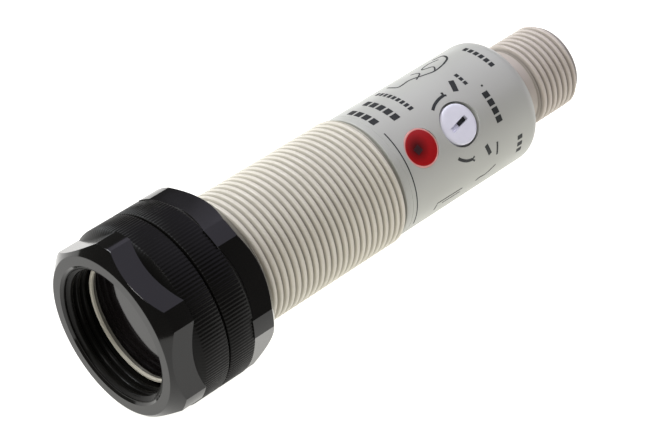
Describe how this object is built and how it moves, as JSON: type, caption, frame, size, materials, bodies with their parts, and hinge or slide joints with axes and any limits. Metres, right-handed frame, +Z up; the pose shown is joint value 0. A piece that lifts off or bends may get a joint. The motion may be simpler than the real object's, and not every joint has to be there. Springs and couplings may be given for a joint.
{
  "type": "photoelectric sensor",
  "caption": "Photoelectric sensor in a threaded cylindrical plastic case with two clamping nuts, a sensitivity adjuster, an indicator and a round plug connector end.",
  "frame": {"origin": "centre of the sensing window's outer face", "axes": "+X along the case from the window to the plug end, +Z up as the sensor lies; the adjuster and the indicator look 44.2 degrees from +Z towards -Y"},
  "size_m": [0.0773, 0.0244, 0.0244],
  "materials": {
    "cream_plastic": "fine satin",
    "grey_plastic": "satin",
    "black_nut_plastic": "moulded gloss",
    "window_acrylic": "polished",
    "clear_acrylic": "polished",
    "black_rubber": "matt",
    "black_plastic": "matt",
    "infrared_resin": "polished",
    "board_laminate": "satin",
    "tinned_steel": "bright",
    "component_resin": "matt",
    "lamp_resin": "satin",
    "trimmer_plastic": "satin",
    "white_plastic": "satin",
    "red_acrylic": "polished",
    "potting_epoxy": "satin",
    "pin_brass": "gold plated"
  },
  "bodies": {
    "sensor": {"adjuster_oring": "black_rubber", "barrel": "cream_plastic", "capacitor": "component_resin", "circuit_board": "board_laminate", "connector_insert": "black_plastic", "connector_shell": "cream_plastic", "contact_pin_1": "pin_brass", "contact_pin_2": "pin_brass", "contact_pin_3": "pin_brass", "contact_pin_4": "pin_brass", "control_ic": "component_resin", "emitter_led": "infrared_resin", "front_window": "window_acrylic", "indicator_led": "lamp_resin", "indicator_window": "red_acrylic", "lens_block": "clear_acrylic", "lens_holder": "black_plastic", "output_transistor": "component_resin", "potentiometer_body": "trimmer_plastic", "potting_resin": "potting_epoxy", "rear_cover": "grey_plastic", "receiver_photodiode": "infrared_resin", "shield_can": "tinned_steel", "window_gasket": "black_rubber"},
    "front_nut": {"front_nut": "black_nut_plastic"},
    "rear_nut": {"rear_nut": "black_nut_plastic"},
    "adjuster": {"adjuster_knob": "white_plastic"}
  },
  "joints": [
    {"name": "front_nut_travel", "type": "slide", "parent": "sensor", "child": "front_nut", "axis": [1, 0, 0], "range_m": [-0.004, 0]},
    {"name": "rear_nut_travel", "type": "slide", "parent": "sensor", "child": "rear_nut", "axis": [1, 0, 0], "range_m": [0, 0.024]},
    {"name": "sensitivity_adjuster", "type": "hinge", "parent": "sensor", "child": "adjuster", "pos_m": [0.0496, 0, 0], "axis": [0, -0.6972, 0.7169], "range_deg": [-115, 115]}
  ]
}
